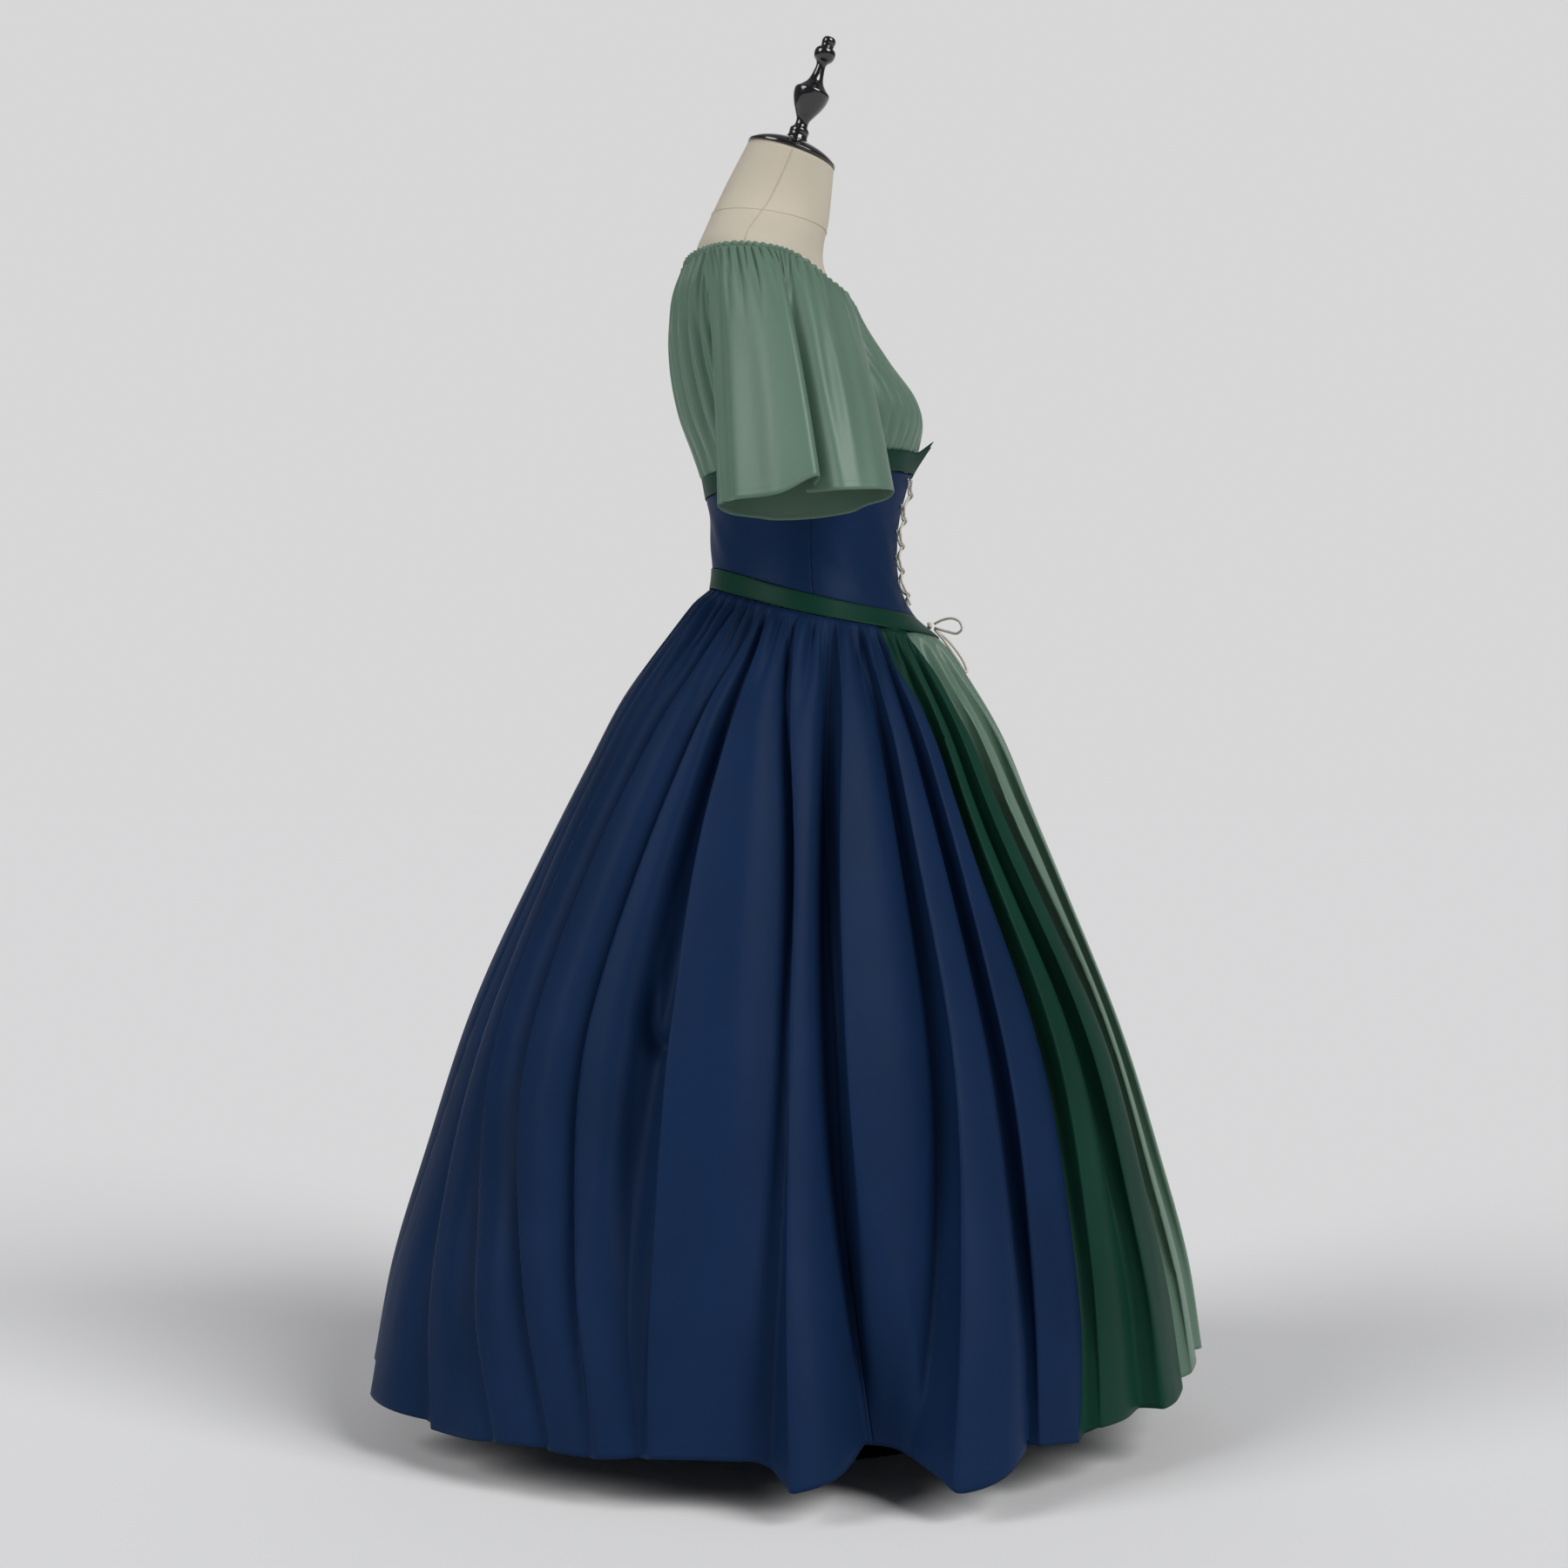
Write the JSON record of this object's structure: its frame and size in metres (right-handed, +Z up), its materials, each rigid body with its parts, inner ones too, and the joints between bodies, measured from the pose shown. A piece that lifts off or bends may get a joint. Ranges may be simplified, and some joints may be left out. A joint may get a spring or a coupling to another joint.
{
  "type": "medieval gown on a limbless dress form",
  "caption": "Floor-length medieval style gown with off-shoulder flared sleeves, laced corset bodice and full pleated panel skirt, worn by a limbless dress form on a pole and round base.",
  "frame": {"origin": "middle of the base's underside on the floor, on the pole's axis", "axes": "+Z up; the gown faces -Y; the wearer's right side is -X"},
  "size_m": [0.9077, 0.9642, 1.588],
  "materials": {
    "linen": "plain woven linen cover, matt",
    "black_lacquer": "gloss black lacquer",
    "black_metal": "satin black paint",
    "sage_cloth": "smooth satin-like weave, soft sheen",
    "navy_cloth": "smooth weave, soft sheen",
    "dark_green_cloth": "smooth weave, soft sheen",
    "cream_cord": "round braided cord"
  },
  "bodies": {
    "root": {"form_torso": "linen", "form_neck_cap": "black_lacquer", "form_finial": "black_lacquer", "form_pole": "black_metal", "form_base": "black_metal", "blouse_back": "sage_cloth", "blouse_front": "sage_cloth", "neck_casing": "sage_cloth", "sleeve_right": "sage_cloth", "sleeve_left": "sage_cloth", "corset_back": "navy_cloth", "corset_front_right": "navy_cloth", "corset_front_left": "navy_cloth", "underbust_band": "dark_green_cloth", "waist_band": "dark_green_cloth", "lacing_panel": "dark_green_cloth", "lacing": "cream_cord", "bow_knot": "cream_cord", "bow_loop_upper": "cream_cord", "bow_loop_lower": "cream_cord", "skirt_back_right": "navy_cloth", "skirt_back_left": "navy_cloth", "skirt_side_right": "navy_cloth", "skirt_side_left": "navy_cloth", "skirt_inset_right": "dark_green_cloth", "skirt_inset_left": "dark_green_cloth", "skirt_front": "sage_cloth"}
  },
  "joints": []
}
